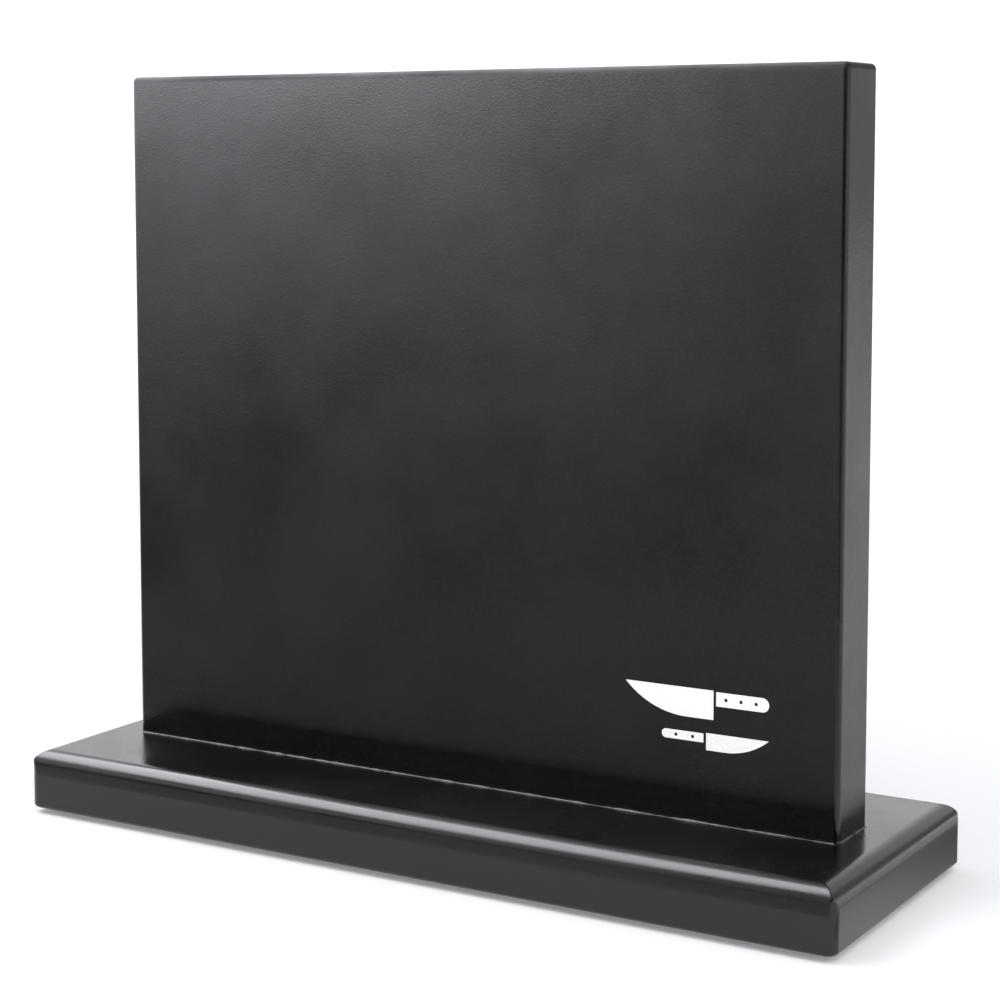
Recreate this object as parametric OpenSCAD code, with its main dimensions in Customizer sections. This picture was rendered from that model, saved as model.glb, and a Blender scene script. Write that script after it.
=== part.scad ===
// Free-standing, double-sided magnetic knife rack.
// An upright panel with magnet rows behind both faces stands on a wide base board.
// Millimetres. The origin is the centre of the footprint on the table, +X runs to the
// right along the length, +Y to the back and +Z up. The printed face looks towards -Y.

/* [Base board] */
// Length of the base board
base_length = 300; // [290:1:360]
// Depth of the base board, front to back
base_depth = 104.6; // [90:0.1:140]
// Thickness of the base board
base_thickness = 20; // [18:0.5:26]
// Radius of the rounded-over top edges
base_top_radius = 6.5; // [3:0.5:8]
// Radius of the eased lower edges
base_lower_radius = 1.5; // [0.5:0.1:2.5]
// Radius of the vertical corners
base_corner_radius = 3.8; // [1:0.1:8]

/* [Panel] */
// Width of the panel
panel_width = 268; // [262:1:280]
// Height of the panel above the base board
panel_height = 233; // [200:1:260]
// Thickness of the core that holds the magnets
core_thickness = 18; // [16:0.5:22]
// Thickness of each face skin
skin_thickness = 2.4; // [2:0.1:3]
// Radius of the eased edges of the panel
panel_edge_radius = 1.8; // [0.5:0.1:1.9]
// Chamfer round the foot of the panel, filled by the joint bead
foot_chamfer = 0.9; // [0.6:0.1:1.2]

/* [Magnets] */
// Number of magnets in each row
magnets_per_row = 10; // [6:1:10]
// Length of one magnet
magnet_length = 20; // [10:1:20]
// Height of one magnet
magnet_height = 10; // [8:1:12]
// Thickness of one magnet
magnet_thickness = 3; // [2:0.5:3]
// Distance from one magnet to the next
magnet_pitch = 24; // [21:0.5:24]
// Thickness of the steel keeper strip behind a row
keeper_thickness = 1.5; // [1:0.1:2]
// Height of the lowest row's centre above the base board
lowest_row_height = 56; // [50:1:60]
// Distance from one row's centre to the next
row_spacing = 62; // [50:1:65]

/* [Fixings] */
// Distance of the outer screws from the middle
screw_offset = 112; // [90:1:115]
// Length of a screw
screw_length = 50; // [40:1:50]
// Distance of the dowels from the middle
dowel_offset = 56; // [30:1:80]
// Diameter of a dowel
dowel_diameter = 8; // [6:1:8]
// Length of a dowel
dowel_length = 30; // [25:1:34]

/* [Feet] */
// Diameter of a rubber foot
foot_diameter = 12.7; // [10:0.1:16]
// Height that a foot stands out of the base board
foot_standout = 2; // [1.5:0.1:3]
// Distance of the foot centres from the ends of the base board
foot_inset_x = 24; // [20:1:40]
// Distance of the foot centres from the front and back of the base board
foot_inset_y = 20; // [18:1:30]

/* [Printed mark] */
// Length of the larger knife in the printed mark
mark_length = 49; // [30:1:60]
// Distance of the mark's centre from the middle of the panel
mark_centre_x = 86.6; // [40:0.1:90]
// Height of the mark's centre above the base board
mark_centre_z = 32.5; // [25:0.5:40]

/* [Hidden] */

$fn = 96;

// How far a cutter runs past the face it opens
overcut = 1;

// Levels and outer sizes
base_under = foot_standout;
base_top = base_under + base_thickness;
panel_thickness = core_thickness + 2 * skin_thickness;
front = -1;
back = 1;

// Magnet rows: a groove takes the keeper strip with the magnets on it
groove_depth = keeper_thickness + magnet_thickness;
groove_height = magnet_height + 0.2;
row_length = (magnets_per_row - 1) * magnet_pitch + magnet_length;
keeper_length = row_length + 4;
row_heights = [for (row = [0:2]) base_top + lowest_row_height + row * row_spacing];

// Screws: a 90 degree countersunk head, a plain shank and threads up to a point
screw_crest_radius = 2.5;
screw_root_radius = 1.6;
screw_shank_radius = 1.8;
screw_head_radius = 4.8;
screw_head_rim = 0.3;
screw_sink = 0.5;
screw_pitch = 2.5;
screw_point = 5;
screw_tip_radius = 0.3;
screw_plain_length = 17;
screw_clearance_radius = 2.75;
pilot_gap = 0.02;
recess_width = 0.95;
recess_length = 5.2;
recess_depth = 2.2;
screw_places = [-screw_offset, 0, screw_offset];

// Dowels: a third of the length in the base board, the rest in the core
dowel_gap = 0.05;
dowel_chamfer = 0.8;
dowel_in_base = 12;
dowel_end_room = 0.8;

// Feet: pressed into shallow pockets
foot_pocket_depth = 1;
foot_pocket_gap = 0.15;
foot_edge_radius = 0.8;

// Printed mark: two kitchen knives, ink as thick as its shallow recess
ink_thickness = 0.15;
rivet_radius = 0.55;

// ---- Outlines ----

// What a quarter round leaves of a square corner. The corner is at the origin and
// the outline that is cut fills the +X +Y quarter.
module round_waste(radius) {
    difference() {
        translate([-overcut, -overcut]) square(radius + overcut);
        translate([radius, radius]) circle(r = radius);
    }
}

// The same for a 45 degree chamfer
module chamfer_waste(size) {
    polygon([
        [-overcut, -overcut],
        [size + overcut, -overcut],
        [-overcut, size + overcut],
    ]);
}

// Rectangle centred on X and standing on Y = 0. The first child cuts its lower
// corners and the second child its upper corners.
module cut_outline(width, height) {
    difference() {
        translate([-width / 2, 0]) square([width, height]);
        for (side = [0, 1]) mirror([side, 0]) {
            translate([-width / 2, 0]) children(0);
            translate([-width / 2, height]) mirror([0, 1]) children(1);
        }
    }
}

// Rectangle centred on both axes with four rounded corners
module rounded_rectangle(width, height, radius) {
    translate([0, -height / 2]) cut_outline(width, height) {
        round_waste(radius);
        round_waste(radius);
    }
}

// ---- Directions ----

// Outline X becomes X, outline Y becomes Z, and the solid is centred on Y
module extrude_along_y(length) {
    rotate([90, 0, 0]) linear_extrude(length, center = true) children();
}

// Outline X becomes Y, outline Y becomes Z, and the solid is centred on X
module extrude_along_x(length) {
    rotate([90, 0, 90]) linear_extrude(length, center = true) children();
}

// ---- Base board ----

module base_form() {
    intersection() {
        extrude_along_y(base_depth) cut_outline(base_length, base_thickness) {
            round_waste(base_lower_radius);
            round_waste(base_top_radius);
        }
        extrude_along_x(base_length) cut_outline(base_depth, base_thickness) {
            round_waste(base_lower_radius);
            round_waste(base_top_radius);
        }
        linear_extrude(base_thickness)
            rounded_rectangle(base_length, base_depth, base_corner_radius);
    }
}

// Clearance hole with its countersink, opening in the plane Z = 0
module screw_hole() {
    mouth = screw_head_radius + screw_sink + 0.05;
    translate([0, 0, -overcut])
        cylinder(r = screw_clearance_radius, h = base_thickness + 2 * overcut);
    translate([0, 0, -overcut])
        cylinder(r1 = mouth + overcut, r2 = 0, h = mouth + overcut);
}

module foot_places() {
    for (x = [-1, 1], y = [-1, 1])
        translate([x * (base_length / 2 - foot_inset_x), y * (base_depth / 2 - foot_inset_y), 0])
            children();
}

module base_board() {
    color([0.045, 0.045, 0.048])
    translate([0, 0, base_under])
    difference() {
        base_form();
        for (x = screw_places) translate([x, 0, 0]) screw_hole();
        for (x = [-dowel_offset, dowel_offset])
            translate([x, 0, base_thickness - dowel_in_base - dowel_end_room])
                cylinder(d = dowel_diameter, h = dowel_in_base + dowel_end_room + overcut);
        foot_places() translate([0, 0, -overcut])
            cylinder(r = foot_diameter / 2 + foot_pocket_gap, h = foot_pocket_depth + overcut);
    }
}

// ---- Panel ----

// The whole panel, standing on Z = 0: eased all round, chamfered at its foot
module panel_form() {
    intersection() {
        extrude_along_y(panel_thickness) cut_outline(panel_width, panel_height) {
            chamfer_waste(foot_chamfer);
            round_waste(panel_edge_radius);
        }
        extrude_along_x(panel_width) cut_outline(panel_thickness, panel_height) {
            chamfer_waste(foot_chamfer);
            round_waste(panel_edge_radius);
        }
        linear_extrude(panel_height)
            rounded_rectangle(panel_width, panel_thickness, panel_edge_radius);
    }
}

// The part of the panel between two planes across its thickness, in place
module panel_layer(y_from, y_to) {
    translate([0, 0, base_top])
    intersection() {
        panel_form();
        translate([-panel_width, y_from, -overcut])
            cube([2 * panel_width, y_to - y_from, panel_height + 2 * overcut]);
    }
}

// Round-ended groove for one magnet row, open towards the given face
module magnet_groove(face, height) {
    end_radius = groove_height / 2;
    for (x = [-1, 1])
        translate([x * keeper_length / 2, face * core_thickness / 2, height])
            rotate([face * 90, 0, 0])
                translate([0, 0, -overcut])
                    cylinder(r = end_radius, h = groove_depth + overcut);
    depth = groove_depth + overcut;
    translate([0, face * (core_thickness / 2 - groove_depth + depth / 2), height])
        cube([keeper_length, depth, groove_height], center = true);
}

module panel_core() {
    color([0.05, 0.05, 0.052])
    difference() {
        panel_layer(-core_thickness / 2, core_thickness / 2);
        for (face = [front, back], height = row_heights) magnet_groove(face, height);
        for (x = screw_places) translate([x, 0, base_top - overcut])
            cylinder(
                r = screw_crest_radius + pilot_gap,
                h = screw_length - base_thickness + screw_sink + overcut + 1
            );
        for (x = [-dowel_offset, dowel_offset]) translate([x, 0, base_top - overcut])
            cylinder(
                d = dowel_diameter,
                h = dowel_length - dowel_in_base + dowel_end_room + overcut
            );
    }
}

module front_face_skin() {
    color([0.05, 0.05, 0.052])
    difference() {
        panel_layer(-panel_thickness / 2, -core_thickness / 2);
        mark_solid(ink_thickness + overcut);
    }
}

module back_face_skin() {
    color([0.05, 0.05, 0.052])
    panel_layer(core_thickness / 2, panel_thickness / 2);
}

// Fills the chamfer round the foot of the panel, flush with its faces
module joint_bead() {
    color([0.09, 0.09, 0.095])
    translate([0, 0, base_top])
    difference() {
        linear_extrude(foot_chamfer)
            rounded_rectangle(panel_width, panel_thickness, panel_edge_radius);
        panel_form();
    }
}

// ---- Magnets and keepers ----

module magnet_row(face, height) {
    color([0.72, 0.71, 0.68])
    for (place = [0 : magnets_per_row - 1])
        translate([
            (place - (magnets_per_row - 1) / 2) * magnet_pitch,
            face * (core_thickness - magnet_thickness) / 2,
            height
        ])
            cube([magnet_length, magnet_thickness, magnet_height], center = true);
}

module keeper_strip(face, height) {
    color([0.45, 0.46, 0.48])
    translate([0, face * (core_thickness / 2 - groove_depth + keeper_thickness / 2), height])
        cube([keeper_length, keeper_thickness, magnet_height], center = true);
}

module front_magnets_lower() magnet_row(front, row_heights[0]);
module front_magnets_middle() magnet_row(front, row_heights[1]);
module front_magnets_upper() magnet_row(front, row_heights[2]);
module back_magnets_lower() magnet_row(back, row_heights[0]);
module back_magnets_middle() magnet_row(back, row_heights[1]);
module back_magnets_upper() magnet_row(back, row_heights[2]);

module front_keeper_lower() keeper_strip(front, row_heights[0]);
module front_keeper_middle() keeper_strip(front, row_heights[1]);
module front_keeper_upper() keeper_strip(front, row_heights[2]);
module back_keeper_lower() keeper_strip(back, row_heights[0]);
module back_keeper_middle() keeper_strip(back, row_heights[1]);
module back_keeper_upper() keeper_strip(back, row_heights[2]);

// ---- Fixings ----

module dowel() {
    radius = dowel_diameter / 2 - dowel_gap;
    rotate_extrude() polygon([
        [0, 0],
        [radius - dowel_chamfer, 0],
        [radius, dowel_chamfer],
        [radius, dowel_length - dowel_chamfer],
        [radius - dowel_chamfer, dowel_length],
        [0, dowel_length],
    ]);
}

module locating_dowels() {
    color([0.78, 0.62, 0.42])
    for (x = [-dowel_offset, dowel_offset])
        translate([x, 0, base_top - dowel_in_base]) dowel();
}

// Half outline of a screw standing on its head: head, shank, threads, point
thread_start = screw_plain_length;
thread_end = screw_length - screw_point;
thread_turns = floor((thread_end - thread_start) / screw_pitch);
screw_profile = [
    [0, 0],
    [screw_head_radius, 0],
    [screw_head_radius, screw_head_rim],
    [screw_shank_radius, screw_head_rim + screw_head_radius - screw_shank_radius],
    [screw_shank_radius, thread_start],
    for (turn = [0 : thread_turns - 1], step = [0, 1])
        [
            step == 0 ? screw_root_radius : screw_crest_radius,
            thread_start + (turn + 0.3 + 0.5 * step) * screw_pitch
        ],
    [screw_root_radius, thread_start + (thread_turns + 0.3) * screw_pitch],
    [screw_tip_radius, screw_length],
    [0, screw_length],
];

module screw() {
    difference() {
        rotate_extrude() polygon(screw_profile);
        for (turn = [0, 90]) rotate([0, 0, turn])
            cube([recess_length, recess_width, 2 * recess_depth], center = true);
    }
}

module fixing_screws() {
    color([0.55, 0.53, 0.48])
    for (x = screw_places)
        translate([x, 0, base_under + screw_sink]) screw();
}

// ---- Feet ----

// Half outline of a rubber foot: flat underside, rounded lower edge, straight side
module foot_profile() {
    radius = foot_diameter / 2;
    height = foot_standout + foot_pocket_depth;
    square([radius - foot_edge_radius, height]);
    translate([0, foot_edge_radius]) square([radius, height - foot_edge_radius]);
    intersection() {
        translate([radius - foot_edge_radius, foot_edge_radius]) circle(r = foot_edge_radius);
        square([radius, height]);
    }
}

module rubber_foot(x_side, y_side) {
    color([0.08, 0.08, 0.08])
    translate([
        x_side * (base_length / 2 - foot_inset_x),
        y_side * (base_depth / 2 - foot_inset_y),
        0
    ])
        rotate_extrude() foot_profile();
}

module foot_front_left() rubber_foot(-1, -1);
module foot_front_right() rubber_foot(1, -1);
module foot_back_left() rubber_foot(-1, 1);
module foot_back_right() rubber_foot(1, 1);

// ---- Printed mark ----

// Blade with its point at the origin and its straight spine along the top. The
// belly is an arc that runs into a straight edge near the heel.
module blade_outline(length, depth) {
    flat_from = 0.7 * length;
    belly_radius = (flat_from * flat_from + depth * depth) / (2 * depth);
    intersection() {
        translate([0, -depth]) square([flat_from, depth]);
        translate([flat_from, belly_radius - depth]) circle(r = belly_radius, $fn = 360);
    }
    translate([flat_from, -depth]) square([length - flat_from, depth]);
}

// Handle that starts at the origin and runs along +X below the spine's line
module handle_outline(length, depth, rivets) {
    difference() {
        union() {
            translate([0, -depth]) square([length - depth / 2, depth]);
            translate([length - depth / 2, -depth / 2]) circle(d = depth);
        }
        for (rivet = [1 : rivets])
            translate([(rivet - 0.35) * length / (rivets + 0.5), -depth / 2])
                circle(r = rivet_radius);
    }
}

module knife_outline(length, blade_share, depth, rivets) {
    blade_length = blade_share * length;
    gap = 0.9;
    blade_outline(blade_length, depth);
    translate([blade_length + gap, -0.3])
        handle_outline(length - blade_length - gap, 0.42 * depth + 0.6, rivets);
}

module mark_outline() {
    translate([-mark_length / 2, 9.5]) knife_outline(mark_length, 0.62, 9.2, 3);
    translate([mark_length / 2, -4]) mirror([1, 0])
        knife_outline(0.74 * mark_length, 0.58, 5.4, 2);
}

// The mark as a solid of the given depth, measured in from the front face
module mark_solid(depth) {
    translate([
        mark_centre_x,
        -panel_thickness / 2 + ink_thickness - depth / 2,
        base_top + mark_centre_z
    ])
        extrude_along_y(depth) mark_outline();
}

module printed_mark() {
    color([0.93, 0.93, 0.92])
    mark_solid(ink_thickness);
}

base_board();
panel_core();
front_face_skin();
back_face_skin();
front_magnets_lower();
front_magnets_middle();
front_magnets_upper();
back_magnets_lower();
back_magnets_middle();
back_magnets_upper();
front_keeper_lower();
front_keeper_middle();
front_keeper_upper();
back_keeper_lower();
back_keeper_middle();
back_keeper_upper();
locating_dowels();
fixing_screws();
foot_front_left();
foot_front_right();
foot_back_left();
foot_back_right();
joint_bead();
printed_mark();
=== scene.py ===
"""Free-standing magnetic knife rack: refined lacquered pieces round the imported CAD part.

Metres throughout. The frame has its origin at the centre of the footprint on the table, +X to the
right along the length, +Y to the back and +Z up. The printed face looks towards -Y.
"""

import math

import bmesh
import bpy
from mathutils import Matrix, Vector, noise


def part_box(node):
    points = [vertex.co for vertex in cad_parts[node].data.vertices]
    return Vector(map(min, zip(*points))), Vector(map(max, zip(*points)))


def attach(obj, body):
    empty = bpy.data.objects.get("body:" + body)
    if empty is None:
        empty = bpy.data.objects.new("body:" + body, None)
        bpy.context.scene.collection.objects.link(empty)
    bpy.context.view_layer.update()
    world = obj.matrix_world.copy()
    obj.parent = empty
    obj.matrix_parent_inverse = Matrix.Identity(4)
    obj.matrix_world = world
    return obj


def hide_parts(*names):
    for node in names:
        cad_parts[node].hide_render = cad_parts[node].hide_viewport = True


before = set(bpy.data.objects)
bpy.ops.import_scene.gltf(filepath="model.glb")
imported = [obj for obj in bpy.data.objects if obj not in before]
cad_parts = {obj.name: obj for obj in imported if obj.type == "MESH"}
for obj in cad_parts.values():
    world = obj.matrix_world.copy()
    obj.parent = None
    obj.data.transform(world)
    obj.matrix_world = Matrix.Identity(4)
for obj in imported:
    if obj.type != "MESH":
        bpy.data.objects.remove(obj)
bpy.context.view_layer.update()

MM = 0.001

# Node boxes that the refined pieces are built to
base_low, base_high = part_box("base_board")
front_low, front_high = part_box("front_face_skin")
back_low, back_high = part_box("back_face_skin")
bead_low, bead_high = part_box("joint_bead")
mark_low, mark_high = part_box("printed_mark")
_, screws_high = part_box("fixing_screws")
_, dowels_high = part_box("locating_dowels")
FOOT_NODES = ["foot_front_left", "foot_front_right", "foot_back_left", "foot_back_right"]

# Base board. Its corners tighten to a mitre over the first part of the top round-over
BASE_TOP_RADIUS = 6.5 * MM
BASE_LOWER_RADIUS = 1.5 * MM
BASE_CORNER_RADIUS = 3.8 * MM
MITRE_RADIUS = 0.45 * MM
MITRE_FULL_INSET = 1.3 * MM
SCREW_HEAD_RADIUS = 4.8 * MM
COUNTERSINK_RADIUS = 5.35 * MM
CLEARANCE_RADIUS = 2.75 * MM
DOWEL_HOLE_RADIUS = 4 * MM
DOWEL_HOLE_DEPTH = 12.8 * MM
FOOT_POCKET_DEPTH = 1 * MM
FOOT_POCKET_GAP = 0.15 * MM

# Panel
PANEL_EDGE_RADIUS = 1.8 * MM
PANEL_TOP_CORNER_RADIUS = 0.02 * MM
FOOT_CHAMFER = 0.9 * MM

# Joint bead: a film that fills the panel's foot chamfer, with a small hollow fillet below it.
# The fillet's size wavers between the least and the most, by noise of two sizes, in cells to
# the metre
BEAD_REACH = 0.42 * MM
BEAD_RISE = 0.5 * MM
BEAD_FILM = 0.02 * MM
BEAD_FILM_TOP = 1.05 * MM
BEAD_SUNK = 0.03 * MM
BEAD_STEP = 1.1 * MM
BEAD_ARC_STEPS = 7
BEAD_COARSE_CELLS = 130
BEAD_FINE_CELLS = 420
BEAD_LEAST, BEAD_MOST = 0.3, 1.9

# Printed mark
INK_PROUD = 0.03 * MM
INK_BEVEL = 0.015 * MM
RIVET_RADIUS = 0.55 * MM

# Smoothness of the rounded forms
ROUND_STEPS = 16
CORNER_STEPS = 8
BORE_SEGMENTS = 64
FOOT_SEGMENTS = 64
SHARP_ANGLE = math.radians(32)


# ---------------------------------------------------------------- Mesh helpers


def quarter_round(radius, steps=ROUND_STEPS):
    """(inset, drop) pairs of a quarter round, from the side face up to the top face."""
    pairs = []
    for step in range(steps + 1):
        angle = math.radians(90 * step / steps)
        pairs.append((radius * (1 - math.cos(angle)), radius * (1 - math.sin(angle))))
    return pairs


def rounded_outline(half_x, half_y, corner_radius, inset, tightest):
    """Points of a rounded rectangle drawn in by inset, counter-clockwise. Its corners
    tighten as it is drawn in, down to the tightest radius, which leaves a mitre."""
    radius = max(corner_radius - inset, tightest)
    points = []
    for quarter, (side_x, side_y) in enumerate(((1, 1), (-1, 1), (-1, -1), (1, -1))):
        centre_x = side_x * (half_x - inset - radius)
        centre_y = side_y * (half_y - inset - radius)
        for step in range(CORNER_STEPS + 1):
            angle = math.radians(90 * (quarter + step / CORNER_STEPS))
            x = centre_x + radius * math.cos(angle)
            y = centre_y + radius * math.sin(angle)
            points.append((x, y))
    return points


def add_ring(bm, points):
    """Vertices at the given points, not yet joined."""
    return [bm.verts.new(point) for point in points]


def join_rings(bm, lower, upper):
    """Band of quads between two rings with the same number of points."""
    count = len(lower)
    for i in range(count):
        j = (i + 1) % count
        bm.faces.new((lower[i], lower[j], upper[j], upper[i]))


def ring_edges(bm, ring):
    """Edges round a ring, made where they are missing."""
    edges = []
    for i, vert in enumerate(ring):
        other = ring[(i + 1) % len(ring)]
        edges.append(bm.edges.get((vert, other)) or bm.edges.new((vert, other)))
    return edges


def fill_between(bm, rings):
    """Flat face inside the first ring with the other rings left open as holes."""
    edges = [edge for ring in rings for edge in ring_edges(bm, ring)]
    bmesh.ops.triangle_fill(bm, use_beauty=True, use_dissolve=False, edges=edges)


def circle(x, y, z, radius, segments=BORE_SEGMENTS):
    """Points of a level circle, counter-clockwise."""
    points = []
    for i in range(segments):
        angle = math.tau * i / segments
        points.append((x + radius * math.cos(angle), y + radius * math.sin(angle), z))
    return points


def bore(bm, x, y, stations, blind):
    """Wall of a round hole through (radius, z) stations. Returns its first and last rings."""
    rings = [add_ring(bm, circle(x, y, z, radius)) for radius, z in stations]
    for lower, upper in zip(rings, rings[1:]):
        join_rings(bm, lower, upper)
    if blind:
        bm.faces.new(rings[-1])
    return rings[0], rings[-1]


def lathe(bm, x, y, profile, segments):
    """Closed solid turned about a vertical axis. The profile's ends are on the axis."""
    low = bm.verts.new((x, y, profile[0][1]))
    high = bm.verts.new((x, y, profile[-1][1]))
    rings = [add_ring(bm, circle(x, y, z, radius, segments)) for radius, z in profile[1:-1]]
    for lower, upper in zip(rings, rings[1:]):
        join_rings(bm, lower, upper)
    for i in range(segments):
        j = (i + 1) % segments
        bm.faces.new((low, rings[0][j], rings[0][i]))
        bm.faces.new((high, rings[-1][i], rings[-1][j]))


def make_piece(name, bm, material, nodes):
    """Smooth-shaded object from a bmesh, riding on the rack's one body in place of the nodes."""
    bmesh.ops.recalc_face_normals(bm, faces=bm.faces)
    mesh = bpy.data.meshes.new(name)
    bm.to_mesh(mesh)
    bm.free()
    mesh.shade_smooth()
    mesh.set_sharp_from_angle(angle=SHARP_ANGLE)
    mesh.materials.append(material)
    piece = bpy.data.objects.new(name, mesh)
    bpy.context.scene.collection.objects.link(piece)
    weighted = piece.modifiers.new("weighted_normals", "WEIGHTED_NORMAL")
    weighted.keep_sharp = True
    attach(piece, "root")
    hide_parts(*nodes)


# ---------------------------------------------------------------- Base board


def base_rings(bm):
    """Rings from the underside, over the eased lower edge, up to the top face."""
    half_x = (base_high.x - base_low.x) / 2
    half_y = (base_high.y - base_low.y) / 2
    levels = []
    for inset, drop in reversed(quarter_round(BASE_LOWER_RADIUS)):
        levels.append((inset, base_low.z + drop, BASE_CORNER_RADIUS))
    for inset, drop in quarter_round(BASE_TOP_RADIUS):
        tightening = min(1, inset / MITRE_FULL_INSET)
        corner_radius = BASE_CORNER_RADIUS + tightening * (MITRE_RADIUS - BASE_CORNER_RADIUS)
        levels.append((inset, base_high.z - drop, corner_radius))
    rings = []
    for inset, z, corner_radius in levels:
        outline = rounded_outline(half_x, half_y, corner_radius, inset, MITRE_RADIUS)
        rings.append(add_ring(bm, [(x, y, z) for x, y in outline]))
    for lower, upper in zip(rings, rings[1:]):
        join_rings(bm, lower, upper)
    return rings[0], rings[-1]


def build_base(material):
    """Base board, bored for its screws and dowels and pocketed for its feet."""
    bm = bmesh.new()
    underside, top = base_rings(bm)
    underside_rings = [underside]
    top_rings = [top]
    screw_offset = screws_high.x - SCREW_HEAD_RADIUS
    cone_depth = COUNTERSINK_RADIUS - CLEARANCE_RADIUS
    for x in (-screw_offset, 0, screw_offset):
        stations = [
            (COUNTERSINK_RADIUS, base_low.z),
            (CLEARANCE_RADIUS, base_low.z + cone_depth),
            (CLEARANCE_RADIUS, base_high.z),
        ]
        mouth, far_end = bore(bm, x, 0, stations, blind=False)
        underside_rings.append(mouth)
        top_rings.append(far_end)
    dowel_offset = dowels_high.x - DOWEL_HOLE_RADIUS
    for x in (-dowel_offset, dowel_offset):
        stations = [
            (DOWEL_HOLE_RADIUS, base_high.z),
            (DOWEL_HOLE_RADIUS, base_high.z - DOWEL_HOLE_DEPTH),
        ]
        top_rings.append(bore(bm, x, 0, stations, blind=True)[0])
    for node in FOOT_NODES:
        low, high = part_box(node)
        centre = (low + high) / 2
        radius = (high.x - low.x) / 2 + FOOT_POCKET_GAP
        stations = [(radius, base_low.z), (radius, base_low.z + FOOT_POCKET_DEPTH)]
        underside_rings.append(bore(bm, centre.x, centre.y, stations, blind=True)[0])
    fill_between(bm, underside_rings)
    fill_between(bm, top_rings)
    make_piece("base_board_lacquered", bm, material, ["base_board"])


# ---------------------------------------------------------------- Panel skins


def panel_solid(bm):
    """The whole upright panel: chamfered at its foot, eased on every other edge."""
    half_x = (front_high.x - front_low.x) / 2
    half_y = (back_high.y - front_low.y) / 2
    foot = front_low.z
    top = front_high.z
    levels = [(FOOT_CHAMFER, foot), (0, foot + FOOT_CHAMFER)]
    levels += [(inset, top - drop) for inset, drop in quarter_round(PANEL_EDGE_RADIUS)]
    rings = []
    for inset, z in levels:
        outline = rounded_outline(half_x, half_y, PANEL_EDGE_RADIUS, inset, PANEL_TOP_CORNER_RADIUS)
        rings.append(add_ring(bm, [(x, y, z) for x, y in outline]))
    for lower, upper in zip(rings, rings[1:]):
        join_rings(bm, lower, upper)
    bm.faces.new(rings[0])
    bm.faces.new(rings[-1])


def build_skin(node, y_from, y_to, material):
    """The layer of the panel between two planes across its thickness."""
    bm = bmesh.new()
    panel_solid(bm)
    bmesh.ops.recalc_face_normals(bm, faces=bm.faces)
    for y, outward in ((y_from, -1), (y_to, 1)):
        if front_low.y < y < back_high.y:
            cut = bmesh.ops.bisect_plane(
                bm,
                geom=bm.verts[:] + bm.edges[:] + bm.faces[:],
                plane_co=(0, y, 0),
                plane_no=(0, outward, 0),
                clear_outer=True,
            )
            edges = [item for item in cut["geom_cut"] if isinstance(item, bmesh.types.BMEdge)]
            bmesh.ops.triangle_fill(bm, use_beauty=True, use_dissolve=False, edges=edges)
    make_piece(node + "_lacquered", bm, material, [node])


# ---------------------------------------------------------------- Joint bead


def footprint_path():
    """(point, outward direction) pairs round the foot of the panel, evenly spaced."""
    half_x = (bead_high.x - bead_low.x) / 2
    half_y = (bead_high.y - bead_low.y) / 2
    outline = rounded_outline(half_x, half_y, PANEL_EDGE_RADIUS, 0, PANEL_EDGE_RADIUS)
    path = []
    for i, (x, y) in enumerate(outline):
        quarter, step = divmod(i, CORNER_STEPS + 1)
        angle = math.radians(90 * (quarter + step / CORNER_STEPS))
        outward = Vector((math.cos(angle), math.sin(angle), 0))
        here = Vector((x, y, 0))
        path.append((here, outward))
        if step == CORNER_STEPS:
            there = Vector((*outline[(i + 1) % len(outline)], 0))
            count = round((there - here).length / BEAD_STEP)
            path += [(here.lerp(there, k / count), outward) for k in range(1, count)]
    return path


def build_bead(material):
    """Lacquer that ran into the joint: a thin hollow fillet of uneven width."""
    bm = bmesh.new()
    fine_offset = Vector((3, 1, 2))
    rings = []
    for here, outward in footprint_path():
        fine_waver = noise.noise(here * BEAD_FINE_CELLS + fine_offset)
        waver = noise.noise(here * BEAD_COARSE_CELLS) + 0.8 * fine_waver
        fullness = min(max(1 + 1.1 * waver, BEAD_LEAST), BEAD_MOST)
        reach = BEAD_REACH * fullness
        rise = min(BEAD_RISE * fullness, BEAD_FILM_TOP - BEAD_FILM)
        profile = [
            (-FOOT_CHAMFER, -BEAD_SUNK),
            (-BEAD_SUNK, FOOT_CHAMFER),
            (-BEAD_SUNK, BEAD_FILM_TOP),
        ]
        for step in range(BEAD_ARC_STEPS + 1):
            angle = math.radians(90 * step / BEAD_ARC_STEPS)
            out = BEAD_FILM + reach * (1 - math.cos(angle))
            profile.append((out, rise * (1 - math.sin(angle))))
        profile.append((BEAD_FILM + reach, -BEAD_SUNK))
        points = []
        for out, up in profile:
            points.append(here + outward * out + Vector((0, 0, bead_low.z + up)))
        rings.append(add_ring(bm, points))
    for ring, following in zip(rings, rings[1:] + rings[:1]):
        join_rings(bm, ring, following)
    make_piece("joint_bead_lacquer", bm, material, ["joint_bead"])


# ---------------------------------------------------------------- Printed mark


def blade_points(length, depth):
    """Blade with its tip at the origin, straight spine, and a belly that is an arc."""
    flat_from = 0.7 * length
    belly_radius = (flat_from**2 + depth**2) / (2 * depth)
    sweep = math.asin(flat_from / belly_radius)
    steps = 28
    points = [(0, 0)]
    for step in range(1, steps + 1):
        angle = sweep * (1 - step / steps)
        x = flat_from - belly_radius * math.sin(angle)
        z = belly_radius * (1 - math.cos(angle)) - depth
        points.append((x, z))
    points += [(length, -depth), (length, 0)]
    return points


def handle_points(start, length, depth, drop):
    """Handle with a square front end and a round butt."""
    radius = depth / 2
    centre_x = start + length - radius
    centre_z = -drop - radius
    steps = 20
    points = [(start, -drop), (start, -drop - depth)]
    for step in range(steps + 1):
        angle = math.radians(180 * step / steps - 90)
        x = centre_x + radius * math.cos(angle)
        z = centre_z + radius * math.sin(angle)
        points.append((x, z))
    return points


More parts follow.
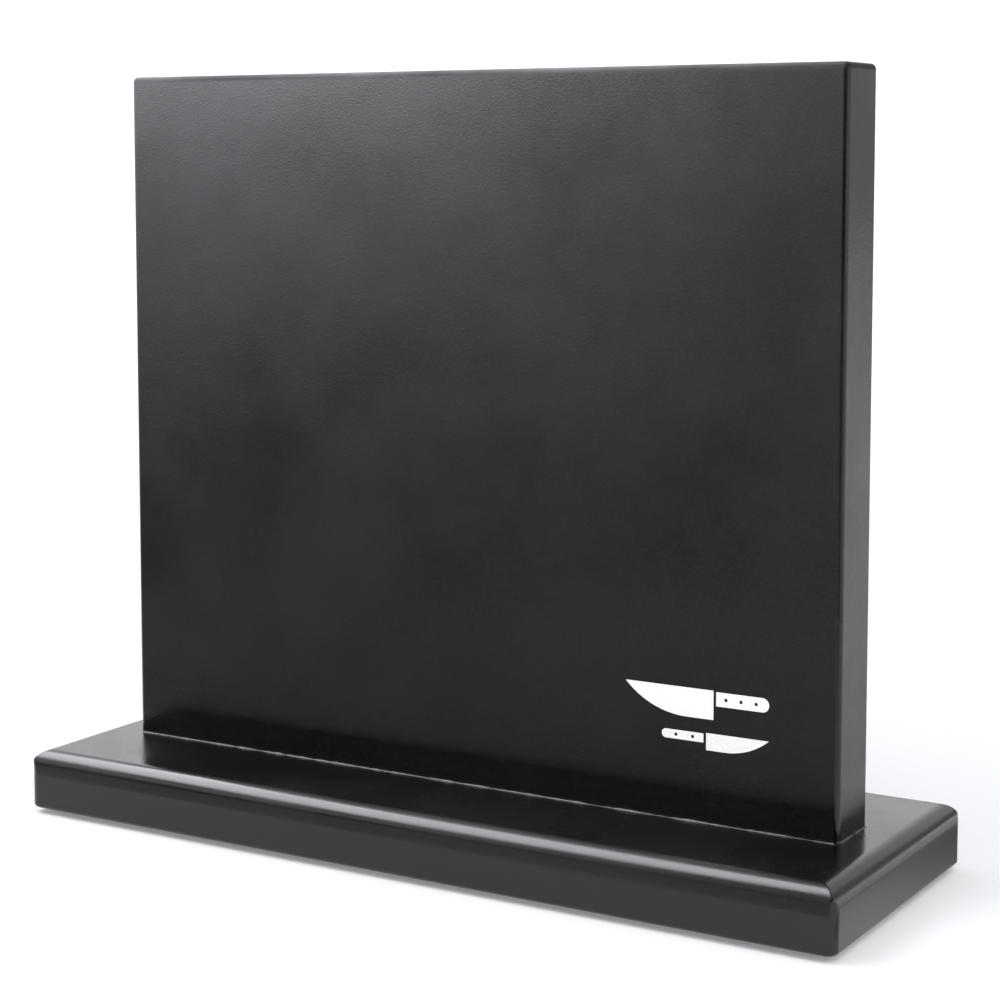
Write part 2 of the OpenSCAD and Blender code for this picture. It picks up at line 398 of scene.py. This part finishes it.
def rivet_points(x, z):
    """Round rivet, left open in the ink."""
    steps = 20
    return [(px, pz) for px, pz, _ in circle(x, z, 0, RIVET_RADIUS, steps)]


def knife_outlines(length, blade_share, depth, rivets):
    """Closed outlines of one knife that points along -X, its tip at the origin."""
    blade_length = blade_share * length
    gap = 0.9 * MM
    drop = 0.3 * MM
    handle_start = blade_length + gap
    handle_length = length - handle_start
    handle_depth = 0.42 * depth + 0.6 * MM
    outlines = [
        blade_points(blade_length, depth),
        handle_points(handle_start, handle_length, handle_depth, drop),
    ]
    for rivet in range(1, rivets + 1):
        x = handle_start + (rivet - 0.35) * handle_length / (rivets + 0.5)
        outlines.append(rivet_points(x, -drop - handle_depth / 2))
    return outlines


def build_mark(material):
    """Two kitchen knives as a film of ink, a hair proud of the front face."""
    length = mark_high.x - mark_low.x
    centre_x = (mark_low.x + mark_high.x) / 2
    large_depth = 9.2 * MM
    small_depth = 5.4 * MM
    large = knife_outlines(length, blade_share=0.62, depth=large_depth, rivets=3)
    small = knife_outlines(0.74 * length, blade_share=0.58, depth=small_depth, rivets=2)
    curve = bpy.data.curves.new("printed_mark_ink", "CURVE")
    curve.dimensions = "2D"
    curve.fill_mode = "BOTH"
    curve.extrude = INK_PROUD
    curve.bevel_depth = INK_BEVEL
    curve.bevel_resolution = 2
    curve.offset = -INK_BEVEL
    placed = [
        # outlines, tip, which way the handle lies from it, height of the spine
        (large, mark_low.x, 1, mark_high.z),
        (small, mark_high.x, -1, mark_low.z + small_depth),
    ]
    for outlines, origin_x, direction, origin_z in placed:
        for outline in outlines:
            spline = curve.splines.new("POLY")
            spline.points.add(len(outline) - 1)
            spline.use_cyclic_u = True
            for point, (x, z) in zip(spline.points, outline):
                point.co = (origin_x - centre_x + direction * x, origin_z + z, 0, 1)
    drawing = bpy.data.objects.new("mark_drawing", curve)
    upright = Matrix.Rotation(math.pi / 2, 4, "X")
    drawing.matrix_world = Matrix.Translation((centre_x, mark_low.y, 0)) @ upright
    bpy.context.scene.collection.objects.link(drawing)
    bpy.context.view_layer.update()
    bm = bmesh.new()
    bm.from_mesh(drawing.to_mesh())
    bm.transform(drawing.matrix_world)
    bmesh.ops.remove_doubles(bm, verts=bm.verts, dist=0.002 * MM)
    bpy.data.objects.remove(drawing)
    make_piece("printed_mark_ink", bm, material, ["printed_mark"])


# ---------------------------------------------------------------- Feet


def build_foot(node, material):
    """Moulded rubber foot: dished underside, rolled rim, slightly tapered side."""
    low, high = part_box(node)
    centre = (low + high) / 2
    radius = (high.x - low.x) / 2
    rim = 0.8 * MM
    dish_radius = 0.62 * radius
    dish_depth = 0.35 * MM
    profile = [
        (0, low.z + dish_depth),
        (0.55 * dish_radius, low.z + dish_depth),
        (0.85 * dish_radius, low.z + 0.6 * dish_depth),
        (dish_radius, low.z + 0.1 * dish_depth),
        (dish_radius + 0.3 * MM, low.z),
    ]
    for inset, drop in reversed(quarter_round(rim, steps=8)):
        profile.append((radius - inset, low.z + drop))
    profile += [
        (radius - 0.06 * MM, high.z - 0.25 * MM),
        (radius - 0.3 * MM, high.z),
        (0, high.z),
    ]
    bm = bmesh.new()
    lathe(bm, centre.x, centre.y, profile, FOOT_SEGMENTS)
    make_piece(node + "_rubber", bm, material, [node])


# ---------------------------------------------------------------- Materials


class Shader:
    """A material's node tree, with short calls for the nodes used here."""

    def __init__(self, name):
        self.material = bpy.data.materials.new(name)
        self.material.use_nodes = True
        self.nodes = self.material.node_tree.nodes
        self.links = self.material.node_tree.links
        self.surface = self.nodes["Principled BSDF"]
        self.place = self.nodes.new("ShaderNodeTexCoord").outputs["Object"]

    def link(self, source, target):
        """Joins an output socket to an input socket."""
        self.links.new(source, target)

    def noise(self, scale, detail=2.0, roughness=0.5, stretch=None):
        """Noise with the given number of cells to the metre."""
        node = self.nodes.new("ShaderNodeTexNoise")
        node.inputs["Scale"].default_value = scale
        node.inputs["Detail"].default_value = detail
        node.inputs["Roughness"].default_value = roughness
        place = self.place
        if stretch:
            mapping = self.nodes.new("ShaderNodeMapping")
            mapping.inputs["Scale"].default_value = stretch
            self.link(place, mapping.inputs["Vector"])
            place = mapping.outputs["Vector"]
        self.link(place, node.inputs["Vector"])
        return node.outputs["Fac"]

    def coordinate(self, axis):
        """Position along an axis of the frame, in metres."""
        node = self.nodes.new("ShaderNodeSeparateXYZ")
        self.link(self.place, node.inputs["Vector"])
        return node.outputs[axis]

    def specks(self, scale, size):
        """1 in sparse round specks of the given size in cells, and 0 elsewhere."""
        node = self.nodes.new("ShaderNodeTexVoronoi")
        node.inputs["Scale"].default_value = scale
        node.inputs["Randomness"].default_value = 1.0
        self.link(self.place, node.inputs["Vector"])
        return self.span(node.outputs["Distance"], size, 0.4 * size, 0, 1)

    def span(self, value, from_low, from_high, to_low, to_high):
        """Smooth step from one range to another."""
        node = self.nodes.new("ShaderNodeMapRange")
        node.interpolation_type = "SMOOTHSTEP"
        for socket, number in zip(node.inputs[1:5], (from_low, from_high, to_low, to_high)):
            socket.default_value = number
        self.link(value, node.inputs["Value"])
        return node.outputs["Result"]

    def maths(self, operation, first, second):
        """Result of a maths node on sockets or plain numbers."""
        node = self.nodes.new("ShaderNodeMath")
        node.operation = operation
        for socket, value in zip(node.inputs, (first, second)):
            if isinstance(value, (int, float)):
                socket.default_value = value
            else:
                self.link(value, socket)
        return node.outputs["Value"]

    def colours(self, value, stops):
        """Colour ramp through (position, colour) stops."""
        node = self.nodes.new("ShaderNodeValToRGB")
        elements = node.color_ramp.elements
        while len(elements) < len(stops):
            elements.new(0.5)
        for element, (position, colour) in zip(elements, stops):
            element.position = position
            element.color = (*colour, 1)
        self.link(value, node.inputs["Fac"])
        return node.outputs["Color"]

    def bump(self, height, distance, under=None):
        """Surface normal with relief of the given depth, over that of another bump."""
        node = self.nodes.new("ShaderNodeBump")
        node.inputs["Strength"].default_value = 1.0
        node.inputs["Distance"].default_value = distance
        self.link(height, node.inputs["Height"])
        if under:
            self.link(under, node.inputs["Normal"])
        return node.outputs["Normal"]

    def finish(self, colour=None, rough=None, normal=None, **constants):
        """The material, with these outputs linked to its shader and the constants set on it."""
        if colour:
            self.link(colour, self.surface.inputs["Base Color"])
        if rough:
            self.link(rough, self.surface.inputs["Roughness"])
        if normal:
            self.link(normal, self.surface.inputs["Normal"])
        for socket, value in constants.items():
            self.surface.inputs[socket.replace("_", " ")].default_value = value
        return self.material


def satin_lacquer(name, sheen_rough, wave_depth, peel_depth, heights):
    """Sprayed satin black over fibreboard: cloudy gloss, orange peel and a few dust nibs.
    Each of the heights scales the roughness from one (z, share) pair to another."""
    s = Shader(name)
    cloud = s.noise(16, detail=5, roughness=0.62)
    grain = s.noise(1100, detail=2, roughness=0.6)
    mottle = s.maths("ADD", s.maths("MULTIPLY", cloud, 0.3), s.maths("MULTIPLY", grain, 0.7))
    colour = s.colours(mottle, [(0.42, (0.0001, 0.0001, 0.0009)), (0.58, (0.0032, 0.0031, 0.005))])
    rough = s.span(cloud, 0.3, 0.7, sheen_rough - 0.07, sheen_rough + 0.05)
    for (low, low_share), (high, high_share) in heights:
        share = s.span(s.coordinate("Z"), low, high, low_share, high_share)
        rough = s.maths("MULTIPLY", rough, share)
    waves = s.bump(s.noise(14, detail=5, roughness=0.45), wave_depth)
    peel = s.bump(s.noise(1400, detail=1), peel_depth, under=waves)
    nibs = s.bump(s.specks(22, 0.018), 0.05 * MM, under=peel)
    return s.finish(colour, rough, nibs, IOR=1.5)


def bead_lacquer():
    """The same lacquer where it pooled in the joint: glossier and wavy."""
    s = Shader("pooled_lacquer")
    run = s.noise(260, detail=3)
    colour = s.colours(run, [(0.3, (0.002, 0.002, 0.0025)), (0.7, (0.007, 0.007, 0.0075))])
    rough = s.span(run, 0.3, 0.7, 0.14, 0.3)
    return s.finish(colour, rough, s.bump(run, 0.06 * MM), IOR=1.5)


def printed_ink():
    """Screen-printed white: a fine mesh texture and slightly uneven cover."""
    s = Shader("white_screen_ink")
    cover = s.noise(1400, detail=3)
    colour = s.colours(cover, [(0.25, (0.78, 0.78, 0.79)), (0.6, (0.9, 0.9, 0.9))])
    rough = s.span(cover, 0.2, 0.8, 0.42, 0.58)
    return s.finish(colour, rough, s.bump(cover, 0.01 * MM), IOR=1.48)


def foot_rubber():
    """Dull black rubber with a fine moulded texture."""
    s = Shader("moulded_rubber")
    mottle = s.noise(420, detail=4)
    colour = s.colours(mottle, [(0.3, (0.018, 0.018, 0.019)), (0.7, (0.032, 0.032, 0.033))])
    rough = s.span(mottle, 0.2, 0.8, 0.62, 0.82)
    return s.finish(colour, rough, s.bump(s.noise(2200), 0.02 * MM), IOR=1.52)


def zinc_plate():
    """Zinc plating with its faint crystal pattern."""
    s = Shader("zinc_plated_steel")
    crystal = s.noise(700, detail=4)
    colour = s.colours(crystal, [(0.3, (0.5, 0.49, 0.44)), (0.7, (0.66, 0.65, 0.6))])
    rough = s.span(crystal, 0.2, 0.8, 0.26, 0.42)
    return s.finish(colour, rough, s.bump(crystal, 0.01 * MM), Metallic=1.0)


def nickel_plate():
    """Bright nickel with a slight haze."""
    s = Shader("nickel_plated_magnet")
    haze = s.noise(300, detail=3)
    colour = s.colours(haze, [(0.3, (0.6, 0.58, 0.54)), (0.7, (0.7, 0.68, 0.64))])
    rough = s.span(haze, 0.2, 0.8, 0.16, 0.28)
    return s.finish(colour, rough, s.bump(s.noise(1800), 0.005 * MM), Metallic=1.0)


def keeper_steel():
    """Cold-rolled steel, streaked along the strip."""
    s = Shader("cold_rolled_steel")
    streak = s.noise(500, detail=4, stretch=(0.06, 1, 1))
    colour = s.colours(streak, [(0.3, (0.3, 0.3, 0.31)), (0.7, (0.42, 0.42, 0.43))])
    rough = s.span(streak, 0.2, 0.8, 0.34, 0.5)
    return s.finish(colour, rough, s.bump(streak, 0.01 * MM), Metallic=1.0)


def beech_wood():
    """Beech with its short flecks along the dowel."""
    s = Shader("beech_dowel")
    fleck = s.noise(900, detail=4, stretch=(1, 1, 0.07))
    colour = s.colours(fleck, [(0.3, (0.45, 0.27, 0.14)), (0.7, (0.62, 0.41, 0.24))])
    rough = s.span(fleck, 0.2, 0.8, 0.55, 0.72)
    return s.finish(colour, rough, s.bump(fleck, 0.03 * MM))


def repaint(node, material, bevel=0.0):
    """Gives a carried-over CAD node its material, and eases its edges with a bevel."""
    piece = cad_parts[node]
    if not piece.material_slots:
        piece.data.materials.append(material)
    for material_slot in piece.material_slots:
        material_slot.material = material
    if bevel:
        weld = piece.modifiers.new("weld", "WELD")
        weld.merge_threshold = 0.01 * MM
        ease = piece.modifiers.new("ease", "BEVEL")
        ease.width = bevel
        ease.segments = 3
        ease.limit_method = "ANGLE"
        ease.angle_limit = math.radians(40)


# ---------------------------------------------------------------- Studio

# Floor and wall, whose glow changes with the distance from the rack
FLOOR_RADIUS = 2.4
FLOOR_SEGMENTS = 96
COVE_RADIUS = 0.6
COVE_STEPS = 16
WALL_HEIGHT = 0.95
FLOOR_WHITE = (0.84, 0.84, 0.85)
GLOW_NEAR, GLOW_FAR = 0.18, 0.45
GLOW_STARTS, GLOW_ENDS = 0.3, 1.3

# Light
WORLD_LIGHT = 0.7
LIGHT_COLOUR = (0.985, 0.98, 1.03)
LAMP_SIZE = 0.6

# Softbox: its middle, how it is turned and tilted, and its rounded outline
SOFTBOX_MIDDLE = (-0.226, 0.091, 0.525)
SOFTBOX_TURN = math.radians(-22)
SOFTBOX_TILT = math.radians(39.4)
SOFTBOX_HALF_WIDTH = 0.36
SOFTBOX_HALF_LENGTH = 0.413
SOFTBOX_CORNER_RADIUS = 0.24
SOFTBOX_TIGHTEST_RADIUS = 0.1

# Sloping cards below the softbox: the ends of their top edge in plan, and the direction that
# they lean out
SKIRT_LEFT = Vector((-0.6, -0.091, 0))
SKIRT_RIGHT = Vector((0.1, -0.375, 0))
SKIRT_OUTWARD = Vector((-0.375, -0.927, 0))
SKIRT_FADE_STARTS, SKIRT_FADE_ENDS = -0.3, 0.0

# Cards on the table and round the rack
TABLE_CARD_HEIGHT = 0.001
RING_RADIUS = 1.3


def card(name, corners, strength, fade=None):
    """Flat emissive card that shows only in reflections. A fade is an axis, where along it the
    strength starts to change, where that ends, and the strength it ends at."""
    mesh = bpy.data.meshes.new(name)
    mesh.from_pydata([Vector(corner) for corner in corners], [], [range(len(corners))])
    s = Shader(name)
    s.surface.inputs["Emission Color"].default_value = (*LIGHT_COLOUR, 1)
    s.surface.inputs["Emission Strength"].default_value = strength
    if fade:
        axis, starts, ends, end_strength = fade
        graded = s.span(s.coordinate(axis), starts, ends, strength, end_strength)
        s.link(graded, s.surface.inputs["Emission Strength"])
    mesh.materials.append(s.finish(Base_Color=(0, 0, 0, 1), Specular_IOR_Level=0.0))
    made = bpy.data.objects.new(name, mesh)
    bpy.context.scene.collection.objects.link(made)
    made.visible_camera = False
    made.visible_diffuse = False
    made.visible_shadow = False
    made.visible_transmission = False


def upright_card(name, start, end, heights, strength, fade=None):
    """Card that stands between two (x, y) places."""
    low, high = heights
    corners = [(*start, low), (*end, low), (*end, high), (*start, high)]
    card(name, corners, strength, fade)


def arc_card(name, azimuths, heights, strength, fade=None):
    """Upright card between two places on a ring round the rack. Azimuth 0 is behind it and 90
    to the right."""
    ends = []
    for azimuth in azimuths:
        angle = math.radians(azimuth)
        ends.append((RING_RADIUS * math.sin(angle), RING_RADIUS * math.cos(angle)))
    upright_card(name, ends[0], ends[1], heights, strength, fade)


def table_card(name, x_range, y_range, strength, fade=None):
    """Card that lies on the table."""
    (x_start, x_end), (y_start, y_end) = x_range, y_range
    places = [(x_start, y_start), (x_end, y_start), (x_end, y_end), (x_start, y_end)]
    card(name, [(x, y, TABLE_CARD_HEIGHT) for x, y in places], strength, fade)


def softbox():
    """Rounded softbox turned and tilted to face the rack: a dimmer rim, with the bright face
    just in front."""
    aim = Matrix.Rotation(SOFTBOX_TURN, 4, "Z") @ Matrix.Rotation(SOFTBOX_TILT, 4, "X")
    place = Matrix.Translation(SOFTBOX_MIDDLE) @ aim
    layers = [
        # name, inset, forward, strength
        ("softbox_rim", 0.0, 0.0, 6.5),
        ("softbox_face", 0.05, -0.002, 8.8),
    ]
    for name, inset, forward, strength in layers:
        outline = rounded_outline(
            SOFTBOX_HALF_WIDTH,
            SOFTBOX_HALF_LENGTH,
            SOFTBOX_CORNER_RADIUS,
            inset,
            SOFTBOX_TIGHTEST_RADIUS,
        )
        card(name, [place @ Vector((x, y, forward)) for x, y in outline], strength)


def skirt():
    """What the front face mirrors below the softbox: a pale card, a grey one and a dark one."""
    layers = [
        # name, top edge (outward, height), bottom edge, strength at the left and the right
        ("skirt", (0.0, 0.262), (0.047, 0.14), 1.35, 0.75),
        ("gap", (0.047, 0.14), (0.08, 0.05), 0.35, 0.35),
        ("dark_gap", (0.08, 0.05), (0.1, 0.0), 0.1, 0.1),
    ]
    for name, (top_out, top), (bottom_out, bottom), left_strength, right_strength in layers:
        top_edge = top_out * SKIRT_OUTWARD + Vector((0, 0, top))
        bottom_edge = bottom_out * SKIRT_OUTWARD + Vector((0, 0, bottom))
        corners = [
            SKIRT_LEFT + top_edge,
            SKIRT_RIGHT + top_edge,
            SKIRT_RIGHT + bottom_edge,
            SKIRT_LEFT + bottom_edge,
        ]
        fade = ("X", SKIRT_FADE_STARTS, SKIRT_FADE_ENDS, right_strength)
        card(name, corners, left_strength, fade)


def build_cyclorama():
    """Round studio floor that curves up into a wall, so that no horizon shows."""
    cove_starts = FLOOR_RADIUS - COVE_RADIUS
    profile = [(cove_starts, 0)]
    for step in range(1, COVE_STEPS + 1):
        angle = math.radians(90 * step / COVE_STEPS)
        radius = cove_starts + COVE_RADIUS * math.sin(angle)
        profile.append((radius, COVE_RADIUS * (1 - math.cos(angle))))
    profile.append((FLOOR_RADIUS, WALL_HEIGHT))
    bm = bmesh.new()
    rings = [add_ring(bm, circle(0, 0, z, radius, FLOOR_SEGMENTS)) for radius, z in profile]
    bm.faces.new(rings[0])
    for inner, outer in zip(rings, rings[1:]):
        join_rings(bm, outer, inner)
    mesh = bpy.data.meshes.new("cyclorama")
    bm.to_mesh(mesh)
    bm.free()
    mesh.shade_smooth()
    floor = bpy.data.objects.new("cyclorama", mesh)
    bpy.context.scene.collection.objects.link(floor)
    s = Shader("cyclorama_paper")
    rough = s.span(s.noise(40), 0.2, 0.8, 0.85, 0.95)
    paper = s.finish(rough=rough, Base_Color=(*FLOOR_WHITE, 1), Specular_IOR_Level=0.0)
    mesh.materials.append(paper)
    distance = s.nodes.new("ShaderNodeVectorMath")
    distance.operation = "LENGTH"
    s.link(s.place, distance.inputs[0])
    glow = s.span(distance.outputs["Value"], GLOW_STARTS, GLOW_ENDS, GLOW_NEAR, GLOW_FAR)
    s.surface.inputs["Emission Color"].default_value = (1, 1, 1, 1)
    s.link(glow, s.surface.inputs["Emission Strength"])


def build_lamp(name, place, watts):
    """Square lamp that faces the rack and shows in no reflection, for the dull surfaces."""
    light = bpy.data.lights.new(name, "AREA")
    light.shape = "RECTANGLE"
    light.size = LAMP_SIZE
    light.size_y = LAMP_SIZE
    light.energy = watts
    lamp = bpy.data.objects.new(name, light)
    lamp.location = place
    lamp.rotation_mode = "QUATERNION"
    lamp.rotation_quaternion = (-lamp.location).to_track_quat("-Z", "Y")
    lamp.visible_glossy = False
    bpy.context.scene.collection.objects.link(lamp)


def build_lights():
    """World, lamps, and the softbox and cards that the lacquer mirrors."""
    world = bpy.data.worlds.new("studio")
    world.use_nodes = True
    background = world.node_tree.nodes["Background"]
    background.inputs["Color"].default_value = (*LIGHT_COLOUR, 1)
    background.inputs["Strength"].default_value = WORLD_LIGHT
    bpy.context.scene.world = world

    # Above and to the front left, close to the rack
    softbox()
    skirt()
    # Dim card on the table in front of the rack, which the foot of the panel mirrors: a painted
    # dark band
    table_card("dark_table", (-0.9, 0.14), (-0.125, -0.235), 0.02)
    # Low strip that the foot of the base board's front round-over mirrors
    upright_card("strip", (-0.3, -0.058), (0.155, -0.058), (0.012, 0.019), 0.7)
    # Glowing cards on the table beside the base board, which its right-hand end and the panel's end
    # mirror.
    # They carry painted shade: the near one dims towards the back, the far one next to the base
    # board
    table_card("near_table", (0.152, 0.168), (-0.05, 0.1), 0.98, ("Y", -0.03, 0.09, 0.35))
    table_card("far_table", (0.168, 0.34), (-0.05, 0.34), 0.5, ("X", 0.168, 0.195, 1.15))
    # Black flag in front of the rack on the camera's side
    upright_card("flag", (0.1, -0.62), (0.48, -0.204), (0, 0.9), 0.08)
    # Boards behind, which the base board's top and the right-hand end mirror
    arc_card("back_dark", (-25, 25), (0.14, 0.25), 0.3)
    arc_card("back_bright", (-75, 25), (0.25, 0.6), 1.95, ("X", -0.3, 0.25, 1.15))
    arc_card("right_bright", (25, 60), (0.0, 0.14), 1.65)
    arc_card("right_grey", (25, 60), (0.14, 0.25), 0.45)
    arc_card("right_dark", (25, 60), (0.25, 0.65), 0.45)

    build_lamp("key", (-0.45, -0.35, 0.75), 3.7)
    build_lamp("fill", (0.55, -0.4, 0.6), 2.2)


# ---------------------------------------------------------------- Camera

CAMERA_PLACE = Vector((0.3911, -0.6402, 0.2267))
CAMERA_YAW = math.radians(30.81)
CAMERA_PITCH = math.radians(5.26)
CAMERA_LENS = 82.66
CAMERA_SENSOR = 36
CAMERA_SHIFT = -0.13


def build_camera():
    """Camera at the photograph's viewing angle. Its shift is about half the photograph's,
    because the other views keep it."""
    data = bpy.data.cameras.new("camera")
    data.sensor_width = CAMERA_SENSOR
    data.lens = CAMERA_LENS
    data.shift_y = CAMERA_SHIFT
    data.clip_start = 0.05
    data.clip_end = 20
    camera = bpy.data.objects.new("camera", data)
    camera.location = CAMERA_PLACE
    camera.rotation_euler = (math.pi / 2 - CAMERA_PITCH, 0, CAMERA_YAW)
    bpy.context.scene.collection.objects.link(camera)
    bpy.context.scene.camera = camera
    bpy.context.scene.view_settings.view_transform = "Standard"


# ---------------------------------------------------------------- Assembly


def panel_lacquer():
    """Glossier towards the foot, where it pooled, and hazy where the top edge was rubbed."""
    foot, rim = front_low.z, front_high.z
    foot_gloss = ((foot, 0.4), (foot + 28 * MM, 1.0))
    rim_haze = ((rim - 2.6 * MM, 1.0), (rim - 1.2 * MM, 2.2))
    return satin_lacquer(
        "panel_lacquer",
        sheen_rough=0.34,
        wave_depth=0.5 * MM,
        peel_depth=0.05 * MM,
        heights=[foot_gloss, rim_haze],
    )


def base_lacquer():
    """Glossier than the panel's, with a little haze on the top face."""
    top_haze = ((base_high.z - 0.7 * MM, 1.0), (base_high.z, 1.25))
    return satin_lacquer(
        "base_lacquer",
        sheen_rough=0.2,
        wave_depth=0.2 * MM,
        peel_depth=0.02 * MM,
        heights=[top_haze],
    )


def build_rack():
    """Every refined piece, and materials for the CAD nodes that are carried over."""
    lacquer = panel_lacquer()
    build_base(base_lacquer())
    build_skin("front_face_skin", front_low.y - MM, front_high.y, lacquer)
    build_skin("back_face_skin", back_low.y, back_high.y + MM, lacquer)
    repaint("panel_core", lacquer)
    build_bead(bead_lacquer())
    build_mark(printed_ink())
    rubber = foot_rubber()
    for node in FOOT_NODES:
        build_foot(node, rubber)
    nickel = nickel_plate()
    steel = keeper_steel()
    for face in ("front", "back"):
        for row in ("lower", "middle", "upper"):
            repaint(f"{face}_magnets_{row}", nickel, bevel=0.35 * MM)
            repaint(f"{face}_keeper_{row}", steel, bevel=0.2 * MM)
    repaint("locating_dowels", beech_wood())
    repaint("fixing_screws", zinc_plate())


build_rack()
build_cyclorama()
build_lights()
build_camera()
